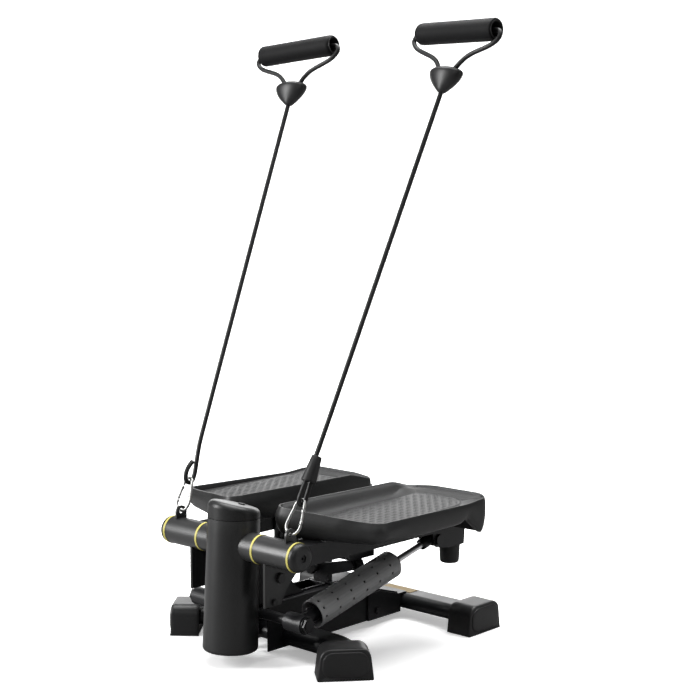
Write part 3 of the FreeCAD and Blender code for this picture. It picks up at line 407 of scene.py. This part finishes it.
def rim_height(x, y):
    """Top of the rim: high beside the column, falling towards the outer side and at the rear."""
    front = 225.6 - 0.078 * (x - PEDAL_X0)
    outer = 213.2 - 0.018 * (y - 89.0)
    rear = 212.5 + 3.7 * smoothstep(42.0, 90.0, x) - 3.4 * smoothstep(168.0, 190.0, x)
    share = smoothstep(0.0, 1.0, (x - PEDAL_X0) / (PEDAL_X1 - 14.0 - PEDAL_X0))
    side = front + (outer - front) * share * smoothstep(40.0, 110.0, y)
    droop = 1.6 * smoothstep(45.0, 300.0, y) * (1.0 - share)
    return side - droop + (rear - side + droop) * smoothstep(288.0, 346.0, y)


def ridge_relief(x, y):
    """Staggered rows of short, slightly bowed ridges."""
    row = math.floor(y / RIDGE_PITCH_Y)
    u = (x / RIDGE_PITCH_X + 0.5 * (row % 2)) % 1.0 - 0.5
    v = (y / RIDGE_PITCH_Y) % 1.0 - 0.5 + RIDGE_BOW * math.cos(2.0 * math.pi * u)
    crest = math.exp(-(v / RIDGE_WIDTH) ** 2)
    return RIDGE_HEIGHT * max(0.0, 1.0 - (u / RIDGE_LENGTH) ** 4) * crest


def tread_height(x, y, margin, pad_margin):
    """Surface inside the rim, by the distances from the rim (margin) and from the pad's edge."""
    level = TREAD_Z + TREAD_SLOPE * (y - TREAD_FRONT_Y)
    wall = 1.0 - smoothstep(WALL_X0, WALL_X1, x)
    trough = -TROUGH_DEPTH * math.exp(-((x - TROUGH_X) / TROUGH_HALF) ** 2)
    trough *= 1.0 - smoothstep(285.0, 320.0, y)
    rise = rim_height(x, y) - 1.2 - level
    inner = rise * wall ** 1.15
    dish = (rim_height(x, y) - 3.2 - level) * (1.0 - smoothstep(0.0, 30.0, margin))
    rear = dish * smoothstep(255.0, 325.0, y)
    surface_z = level + max(inner, rear) + trough
    surface_z += 0.9 * smoothstep(-1.0, 1.0, pad_margin)
    surface_z -= 0.7 * math.exp(-((pad_margin + 1.6) / 1.1) ** 2)
    return surface_z + ridge_relief(x, y) * smoothstep(3.0, 6.0, pad_margin)


def distance_inside(outline, x, y):
    """Distance from the outline, positive inside it and negative outside it."""
    best = 1e9
    count = len(outline)
    for i in range(count):
        a, b = outline[i], outline[(i + 1) % count]
        dx, dy = b.x - a.x, b.y - a.y
        t = max(0.0, min(1.0, ((x - a.x) * dx + (y - a.y) * dy) / (dx * dx + dy * dy + 1e-12)))
        gap = math.hypot(x - a.x - dx * t, y - a.y - dy * t)
        if gap < abs(best):
            best = gap if dx * (y - a.y) - dy * (x - a.x) > 0 else -gap
    return best


def skirt_bottom(x, y):
    """Lower edge of the skirt: level, but deeper at the rear outer corner behind a curved relief."""
    deep = smoothstep(292.0, 338.0, y) * smoothstep(96.0, 128.0, x)
    arch = 5.0 * math.exp(-((y - 296.0) / 9.0) ** 2) * smoothstep(120.0, 170.0, x)
    return SKIRT_Z - 21.5 * deep ** 1.4 + arch


def outer_rings(outline):
    """Rings of the skirt from the bottom up, and then over the round top of the rim."""
    rings = []
    for share, side_inset, front_inset in SKIRT:
        ring = []
        side_ring = inset_outline(outline, side_inset)
        front_ring = inset_outline(outline, front_inset)
        for p, q_side, q_front in zip(outline, side_ring, front_ring):
            q = q_front.lerp(q_side, smoothstep(88.0, 165.0, p.y))
            low = skirt_bottom(p.x, p.y)
            high = rim_height(p.x, p.y) - 0.6
            ring.append(Vector((q.x, q.y, low + (high - low) * share)))
        rings.append(ring)
    for inset, drop in RIM:
        moved = inset_outline(outline, inset)
        rings.append([Vector((q.x, q.y, rim_height(p.x, p.y) - drop)) for p, q in zip(outline, moved)])
    return rings


def tread_surface(outline):
    """Vertices and triangles inside the rim; the first vertices follow the rim's inner edge."""
    edge = inset_outline(outline, RIM_WIDTH)
    pad = rounded_outline(PAD_CORNERS, spacing=8.0)
    flat = [Vector((p.x, p.y)) for p in edge]
    x = PEDAL_X0 + 4.0
    while x < PEDAL_X1 - 3.0:
        y = PEDAL_Y0
        while y < PEDAL_Y1:
            if distance_inside(edge, x, y) > 1.1:
                flat.append(Vector((x, y)))
            y += TREAD_GRID
        x += TREAD_GRID
    loop = [(i, (i + 1) % len(edge)) for i in range(len(edge))]
    points, _, triangles, _, _, _ = delaunay_2d_cdt(flat, loop, [], 1, 1e-4)
    verts = []
    for p in points:
        z = tread_height(p.x, p.y, distance_inside(edge, p.x, p.y), distance_inside(pad, p.x, p.y))
        verts.append(Vector((p.x, p.y, min(z, rim_height(p.x, p.y) - 1.2))))
    return verts, triangles


def underside_ring(outline, inset, rise):
    """Ring on the hidden inner face; the lowest one follows the skirt's lower edge."""
    ring = []
    for p, q in zip(outline, inset_outline(outline, inset)):
        low = skirt_bottom(p.x, p.y) if rise == 0.0 else SKIRT_Z
        ring.append(Vector((q.x, q.y, low + rise)))
    return ring


def make_pedal(side_name, side):
    """Moulded foot plate: skirt, rim, dished surface with a ridged pad, and a hollow underside."""
    outline = rounded_outline(PEDAL_CORNERS)
    count = len(outline)
    rings = outer_rings(outline)
    verts = [v for ring in rings for v in ring]
    faces = []
    for r in range(len(rings) - 1):
        faces += band_faces(r * count, (r + 1) * count, count)
    base = len(verts)
    tread_verts, triangles = tread_surface(outline)
    verts += tread_verts
    faces += [tuple(base + i for i in triangle) for triangle in triangles]
    faces += band_faces(base - count, base, count)
    under = [0]
    for inset, rise in UNDERSIDE:
        under.append(len(verts))
        verts += underside_ring(outline, inset, rise)
    for lower, upper in zip(under, under[1:]):
        faces += band_faces(lower, upper, count)
    faces.append(tuple(under[-1] + i for i in range(count)))
    placed = [Vector((v.x * side, v.y + PIVOT.y / MM, v.z)) * MM for v in verts]
    piece = mesh_object("foot_plate_" + side_name, placed, faces, paint["pedal_plastic"], 50.0)
    ride_and_slot(piece, "pedal_arm_" + side_name, "pedal_plastic", "pedal_" + side_name)


# ---- end shoes -------------------------------------------------------------------------------
FOOT_LENGTH = 43.6
# Corners of a shoe's outer face and of its raised panel: sideways, height, corner radius.
FOOT_PROFILE = [(-40, 0, 1.2), (40, 0, 1.2), (34.5, 45, 16), (-34.5, 45, 16)]
PANEL_PROFILE = [(-33.5, 4.6, 14), (33.5, 4.6, 14), (31.0, 40.5, 15), (-31.0, 40.5, 15)]
# Steps from the panel's seam up its rounded edge: inset, distance out from the shoe's face.
PANEL_STEPS = [(-0.4, -1.2), (-0.4, -0.6), (0.0, -0.6), (0.0, 0.9), (0.5, 1.4), (1.6, 1.75), (4.0, 1.9),
               (9.0, 2.1)]
# Rounded edge at the socket and at the outer face: inset, distance from that end.
SOCKET_EDGE = [(4.5, 1.5), (2.6, 0.0), (1.2, 0.3), (0.6, 1.5)]
FACE_EDGE = [(0.4, -2.4), (0.9, -0.9), (1.9, -0.2), (3.0, 0.0)]
RIB_COUNT = 19
RIB_PITCH = 4.0
RIB_SECTION = [(-1.0, 0.1), (1.0, 0.1), (0.7, 2.4), (-0.7, 2.4)]


def foot_ring(outline, inset, along, place):
    """The outline inset at a distance along the shoe, with its base kept on the floor."""
    ring = []
    for p, q in zip(outline, inset_outline(outline, inset)):
        ring.append(place(q.x, along, 0.0 if p.y < 0.05 else q.y))
    return ring


def foot_shell(name, place):
    outline = rounded_outline(FOOT_PROFILE, spacing=2.2)
    rings = [foot_ring(outline, inset, -FOOT_LENGTH + along, place) for inset, along in SOCKET_EDGE]
    rings += [foot_ring(outline, 0.3 * math.sin(0.5 * i), -38.0 + 8.0 * i, place) for i in range(5)]
    rings += [foot_ring(outline, inset, along, place) for inset, along in FACE_EDGE]
    return skin("end_shoe_" + name, rings, paint["foot_plastic"], smooth_deg=50.0)


def foot_panel(name, place):
    outline = rounded_outline(PANEL_PROFILE, spacing=3.0)
    rings = []
    for inset, along in PANEL_STEPS:
        rings.append([place(q.x, along, q.y) for q in inset_outline(outline, inset)])
    return skin("shoe_panel_" + name, rings, paint["foot_plastic"], smooth_deg=50.0)


def foot_ribs(name, place):
    """Row of small upright ribs along the lower edge of the shoe's outer face."""
    verts = []
    faces = []
    for i in range(RIB_COUNT):
        middle = RIB_PITCH * (i - (RIB_COUNT - 1) / 2)
        b = len(verts)
        verts += [place(middle + a, depth, z) for depth in (-1.5, 0.7) for a, z in RIB_SECTION]
        faces += [(b, b + 3, b + 2, b + 1), (b + 4, b + 5, b + 6, b + 7)]
        faces += [(b + k, b + (k + 1) % 4, b + 4 + (k + 1) % 4, b + 4 + k) for k in range(4)]
    return mesh_object("shoe_ribs_" + name, verts, faces, paint["foot_plastic"])


def make_foot(name, side, face_x, face_y, turn):
    """Moulded shoe, its outer face at face_x, face_y behind the pivot, turned towards the front."""
    out = Vector((math.cos(turn), -math.sin(turn), 0.0))
    across = Vector((math.sin(turn), math.cos(turn), 0.0))
    face = Vector((face_x, PIVOT.y / MM + face_y, 0.0))

    def place(sideways, along, height):
        point = face + across * sideways + out * along + Vector((0.0, 0.0, height))
        return Vector((point.x * side, point.y, point.z)) * MM

    shoe = foot_shell(name, place)
    for piece in (shoe, foot_panel(name, place), foot_ribs(name, place)):
        ride_and_slot(piece, "base", "foot_plastic")
    return shoe


def make_feet():
    for side_name, side in SIDES:
        make_foot("front_" + side_name, side, 181.4, 41.0, math.radians(40.5))
        make_foot("rear_" + side_name, side, 183.5, 352.0, 0.0)
    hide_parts("front_feet")
    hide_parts("rear_feet")


# ---- bands and handles -----------------------------------------------------------------------
GRIP_HALF = 74.5
FOAM_R, LINER_R = 16.5, 12.0
# Rounded ends of the foam: distance from that end, radius.
FOAM_START = [(0.0, LINER_R + 0.9), (0.0, FOAM_R - 3.2), (1.0, FOAM_R - 1.7), (2.8, FOAM_R - 0.6),
              (6.0, FOAM_R)]
FOAM_END = [(3.0, FOAM_R), (1.0, FOAM_R - 0.7), (0.0, FOAM_R - 2.4), (0.0, LINER_R + 0.9)]
# The bell from its foot up: height, half width, half depth.
YOKE_SECTIONS = [(-2.5, 4.0, 4.0), (-1.8, 6.0, 5.6), (0.0, 8.2, 7.0), (3.0, 12.0, 8.6),
                 (8.0, 18.2, 10.8), (14.0, 24.0, 13.2), (20.0, 28.0, 15.0), (25.0, 29.8, 16.0),
                 (28.5, 30.0, 16.2), (30.6, 29.0, 15.6), (32.2, 26.6, 14.4), (34.0, 21.6, 12.0),
                 (35.4, 14.5, 8.6), (36.2, 6.0, 4.0)]
# Hook of bent wire: wire radius, radii of its two bends, overall length.
WIRE_R = 2.15
HOOK_BOTTOM_R, HOOK_TOP_R, HOOK_LENGTH = 13.0, 8.0, 50.0
# Section of the rubber cover: distance up the band, radius.
COVER_SECTION = [(34.0, 3.7), (36.6, 4.4), (37.3, 5.6), (37.0, 6.8), (35.8, 7.4), (24.0, 8.7),
                 (12.0, 9.9), (3.0, 10.8), (1.2, 11.0), (0.2, 10.6), (0.0, 9.9), (0.8, 9.3),
                 (6.0, 8.8), (20.0, 6.2)]


def make_grip(side_name, side):
    """Foam tube with a plastic liner showing at both open ends."""
    centre = mirrored(GRIP_CENTRE, side)
    axis = mirrored(HANDLE_OUT, side)
    foam = [(-GRIP_HALF + along, r) for along, r in FOAM_START]
    for i in range(1, 12):
        along = -GRIP_HALF + 6.0 + (2 * GRIP_HALF - 9.0) * i / 12.0
        foam.append((along, FOAM_R - 0.12 * math.sin(math.pi * i / 12.0)))
    foam += [(GRIP_HALF - along, r) for along, r in FOAM_END]
    sleeve = lathe("grip_foam_" + side_name, centre, axis, foam, paint["foam"], closed=True)
    ride_and_slot(sleeve, "grip_" + side_name, "foam", "grip_" + side_name)
    liner_end = [(0.6, LINER_R - 0.2), (0.6, LINER_R + 1.6), (-0.2, LINER_R + 1.6),
                 (-0.2, LINER_R + 0.85)]
    liner = [(-GRIP_HALF - out, r) for out, r in liner_end]
    liner += [(GRIP_HALF + out, r) for out, r in reversed(liner_end)]
    tube = lathe("grip_liner_" + side_name, centre, axis, liner, paint["foot_plastic"], closed=True)
    ride_and_slot(tube, "grip_" + side_name, "foot_plastic")


def make_yoke(side_name, side):
    """Flattened bell: narrow at the band, widest near its top, and domed between the two strands."""
    rings = []
    for up, out, deep in YOKE_SECTIONS:
        middle = YOKE_FOOT + HANDLE_UP * (up * MM)
        ring = ring_of(middle, HANDLE_OUT, HANDLE_DEEP, out * MM, deep * MM, 64)
        rings.append([mirrored(p, side) for p in ring])
    bell = skin("yoke_shell_" + side_name, rings, paint["foot_plastic"], smooth_deg=60.0)
    add_subdivision(bell, 1)
    ride_and_slot(bell, "band_" + side_name, "foot_plastic", "yoke_" + side_name)


def bent_wire(name, points, radius, material):
    """A bent wire through the given points, smooth and round in section."""
    curve = bpy.data.curves.new(name, "CURVE")
    curve.dimensions = "3D"
    curve.bevel_depth = radius
    curve.bevel_resolution = 5
    curve.resolution_u = 10
    curve.use_fill_caps = True
    spline = curve.splines.new("BEZIER")
    spline.bezier_points.add(len(points) - 1)
    for knot, point in zip(spline.bezier_points, points):
        knot.co = point
        knot.handle_left_type = "AUTO"
        knot.handle_right_type = "AUTO"
    return new_object(name, curve, material)


def bend(radius, centre_up, turn, start_deg, end_deg):
    """Points every 20 degrees round a bend of the hook, turning over its bottom (-1) or its top (1)."""
    points = []
    for degrees in range(start_deg, end_deg + 1, 20):
        a = math.radians(degrees)
        points.append((-turn * radius * math.cos(a), centre_up + turn * radius * math.sin(a)))
    return points


def make_carabiner(side_name, side):
    """Pear-shaped wire hook with a sprung gate whose nose sits in a small latch."""
    path = [(HOOK_BOTTOM_R - 0.2, HOOK_BOTTOM_R + 3.4)]
    path += bend(HOOK_BOTTOM_R, HOOK_BOTTOM_R, -1, 0, 180)
    path += [(-11.9, 22.0), (-9.6, 34.0), (-8.6, 41.0)]
    path += bend(HOOK_TOP_R, HOOK_LENGTH - HOOK_TOP_R, 1, 20, 160)
    path += [(8.3, 41.2), (8.7, 38.6)]
    points = [mirrored(band_point(across, up), side) for across, up in path]
    hook = bent_wire("carabiner_hook_" + side_name, points, WIRE_R * MM, paint["zinc"])
    ride_and_slot(hook, "band_" + side_name, "zinc", "carabiner_" + side_name)
    start = mirrored(band_point(HOOK_BOTTOM_R - 0.1, HOOK_BOTTOM_R + 4.4), side)
    end = mirrored(band_point(8.8, 37.6), side)
    axis = (end - start).normalized()
    run = (end - start).length / MM
    profile = [(-0.3, 0.8), (0.0, 2.0), (1.2, 2.3), (3.4, 2.3), (3.9, 1.9), (run - 5.0, 1.9),
               (run - 4.4, 2.7), (run - 1.2, 2.7), (run - 0.5, 2.2), (run, 1.2)]
    gate = lathe("carabiner_gate_bar_" + side_name, start, axis, profile, paint["zinc"], 32)
    ride_and_slot(gate, "gate_" + side_name, "zinc", "carabiner_gate_" + side_name)


def make_band_cover():
    """Conical rubber cover over the crimped end of the right band, open below."""
    start = band_point(0.0, 76.0)
    cover = lathe("band_end_cover", start, BAND_UP, COVER_SECTION, paint["rubber"], closed=True)
    ride_and_slot(cover, "band_right", "rubber", "band_cover")
    return cover


def make_bands():
    cover = make_band_cover()
    for side_name, side in SIDES:
        loop = CRIMPED_LOOP if side > 0 else OPEN_LOOP
        band = make_band(side_name, side, loop)
        make_yoke(side_name, side)
        strand = make_handle_cord(side_name, side)
        mirrored(YOKE_FOOT, side)
        first = mirrored(handle_point(*HANDLE_ROUTE[0]), side)
        make_grip(side_name, side)
        make_carabiner(side_name, side)


# ---- spine -----------------------------------------------------------------------------------
SLOT_X, SLOT_Z = 17.0, 82.0
SLOT_Y0, SLOT_Y1 = 61.0, 171.0


def make_slot_highlight():
    """Strip of bright steel along the hem of the spine's top opening: a painted highlight for the light
    that the hem's top reflects.
    """
    corners = [(-SLOT_X, SLOT_Y0, 2.0), (SLOT_X, SLOT_Y0, 2.0), (SLOT_X, SLOT_Y1, 2.0),
               (-SLOT_X, SLOT_Y1, 2.0)]
    line = rounded_outline(corners, steps=4, spacing=20.0)
    section = [(0.7, 0.0), (0.7, 0.35), (-0.7, 0.35), (-0.7, 0.0)]
    loops = [inset_outline(line, inset) for inset, _ in section]
    rings = []
    for i in range(len(line)):
        ring = []
        for loop, (_, rise) in zip(loops, section):
            ring.append(Vector((loop[i].x, PIVOT.y / MM + loop[i].y, SLOT_Z + rise)) * MM)
        rings.append(ring)
    edge = skin("spine_slot_highlight", rings, paint["steel"], closed=True)
    ride_and_slot(edge, "base", "steel")


# ---- dampers ---------------------------------------------------------------------------------
DAMPER_LOW = Vector((0.1, PIVOT.y + 0.031, 0.067))
DAMPER_HIGH = Vector((0.1, PIVOT.y + 0.322, 0.1385))


def make_damper_rod(side_name, side):
    """Bright piston rod that ends in a dark socket and eye on the upper pin."""
    low = mirrored(DAMPER_LOW, side)
    high = mirrored(DAMPER_HIGH, side)
    axis = high - low
    run = axis.length / MM
    shaft_profile = [(112.0, 2.0), (112.0, 10.4), (112.6, 10.9), (123.4, 10.9), (124.0, 10.4),
                     (124.0, 5.0), (run - 24.0, 5.0)]
    shaft = lathe("damper_shaft_" + side_name, low, axis, shaft_profile, paint["chrome"])
    ride_and_slot(shaft, "piston_" + side_name, "chrome", "damper_rod_" + side_name)
    socket_profile = [(run - 26.0, 5.1), (run - 26.0, 7.6), (run - 25.0, 8.6), (run - 23.5, 9.0),
                      (run - 15.0, 9.0), (run - 9.0, 8.4), (run - 9.0, 5.1)]
    socket = lathe("damper_socket_" + side_name, low, axis, socket_profile, paint["bolts"], closed=True)
    ride_and_slot(socket, "piston_" + side_name, "bolts")
    eye_profile = [(-8.0, 6.5), (-8.0, 10.2), (-7.2, 11.0), (7.2, 11.0), (8.0, 10.2), (8.0, 6.5)]
    across = Vector((1, 0, 0))
    eye = lathe("damper_eye_" + side_name, high, across, eye_profile, paint["bolts"], closed=True)
    ride_and_slot(eye, "piston_" + side_name, "bolts")


# ---- room ------------------------------------------------------------------------------------
ROOM_STRENGTH = 0.05
BACKDROP_STRENGTH = 4.0
# Sweep behind the object: half its width, where it starts, where it bends up, and how sharply.
FLOOR_HALF, FLOOR_START, BEND_START, BEND_R = 7.0, -2.0, 2.6, 1.6
FLOOR_TOP = 5.0


def make_floor():
    """Seamless pale sweep: a level floor that curves up far behind the object."""
    path = [(FLOOR_START, 0.0), (0.0, 0.0), (1.6, 0.0), (BEND_START, 0.0)]
    for degrees in range(9, 91, 9):
        a = math.radians(degrees)
        path.append((BEND_START + BEND_R * math.sin(a), BEND_R - BEND_R * math.cos(a)))
    path += [(BEND_START + BEND_R, 3.0), (BEND_START + BEND_R, FLOOR_TOP)]
    turn = Matrix.Rotation(math.radians(LOOK_TURN_DEG), 3, "Z")
    verts = [turn @ Vector((x, y, z)) for y, z in path for x in (-FLOOR_HALF, FLOOR_HALF)]
    faces = [(2 * i, 2 * i + 1, 2 * i + 3, 2 * i + 2) for i in range(len(path) - 1)]
    floor = mesh_object("floor", verts, faces, None)
    smooth(floor, 60.0)
    floor.data.materials.append(floor_paper())


def floor_paper():
    """White paper that sends only a little soft light back up at the object."""
    material = surface("floor_paper", (0.93, 0.93, 0.93), 0.95, grain=(60, 0.02), mottle=(2.0, 0.005))
    tree = material.node_tree
    paper = tree.nodes["Principled BSDF"]
    paper.inputs["Emission Color"].default_value = (1.0, 1.0, 1.0, 1.0)
    paper.inputs["Emission Strength"].default_value = 0.35
    dim = tree.nodes.new("ShaderNodeBsdfDiffuse")
    dim.inputs["Color"].default_value = (0.25, 0.25, 0.25, 1.0)
    path = tree.nodes.new("ShaderNodeLightPath")
    choose = tree.nodes.new("ShaderNodeMixShader")
    tree.links.new(path.outputs["Is Camera Ray"], choose.inputs["Fac"])
    tree.links.new(dim.outputs["BSDF"], choose.inputs[1])
    tree.links.new(paper.outputs["BSDF"], choose.inputs[2])
    tree.links.new(choose.outputs["Shader"], tree.nodes["Material Output"].inputs["Surface"])
    return material


def area_light(name, place, target, width, height, power):
    light = bpy.data.lights.new(name, "AREA")
    light.shape = "RECTANGLE"
    light.size = width
    light.size_y = height
    light.energy = power
    lamp = bpy.data.objects.new(name, light)
    lamp.location = place
    aim = Vector(target) - Vector(place)
    lamp.rotation_euler = aim.to_track_quat("-Z", "Y").to_euler()
    bpy.context.scene.collection.objects.link(lamp)


def make_world():
    """White backdrop behind the object, and a softer, darker room in its reflections."""
    world = bpy.data.worlds.new("world")
    world.use_nodes = True
    tree = world.node_tree
    room = tree.nodes["Background"]
    room.inputs["Color"].default_value = (1.0, 1.0, 1.0, 1.0)
    room.inputs["Strength"].default_value = ROOM_STRENGTH
    backdrop = tree.nodes.new("ShaderNodeBackground")
    backdrop.inputs["Color"].default_value = (1.0, 1.0, 1.0, 1.0)
    backdrop.inputs["Strength"].default_value = BACKDROP_STRENGTH
    path = tree.nodes.new("ShaderNodeLightPath")
    choose = tree.nodes.new("ShaderNodeMixShader")
    tree.links.new(path.outputs["Is Camera Ray"], choose.inputs["Fac"])
    tree.links.new(room.outputs["Background"], choose.inputs[1])
    tree.links.new(backdrop.outputs["Background"], choose.inputs[2])
    tree.links.new(choose.outputs["Shader"], tree.nodes["World Output"].inputs["Surface"])
    bpy.context.scene.world = world


def make_lights():
    area_light("top", (0.0, 0.4, 2.8), (0, 0, 0.1), 3.0, 2.6, 125)
    area_light("left", (-1.6, -2.2, 1.2), (0, 0, 0.2), 0.45, 1.8, 95)
    area_light("right", (2.5, 0.7, 0.9), (0, 0, 0.2), 0.25, 1.6, 5)
    area_light("fill", (1.7, -2.2, 1.9), (0, 0, 0.2), 1.4, 1.2, 8)
    area_light("back", (-2.04, 2.2, 0.75), (0, 0, 0.15), 3.5, 1.0, 34)
    area_light("sweep", (-0.4, 1.2, 3.2), (-2.0, 3.2, 0.8), 3.0, 1.5, 190)
    make_world()


# ---- everything ------------------------------------------------------------------------------
def paint_frame():
    """Gives each shown CAD node its finish, by its material slot in the record."""
    for subpart in frame["record"]["subparts"]:
        node = nodes[subpart["node"]]
        node.data.materials.clear()
        node.data.materials.append(paint[subpart["material_slot"]])
        smooth(node, 32.0)


make_bands()
paint_frame()
for name, sign in SIDES:
    make_pedal(name, sign)
    make_damper_rod(name, sign)
make_feet()
make_slot_highlight()
make_floor()
make_lights()
bpy.context.scene.view_settings.view_transform = "Standard"
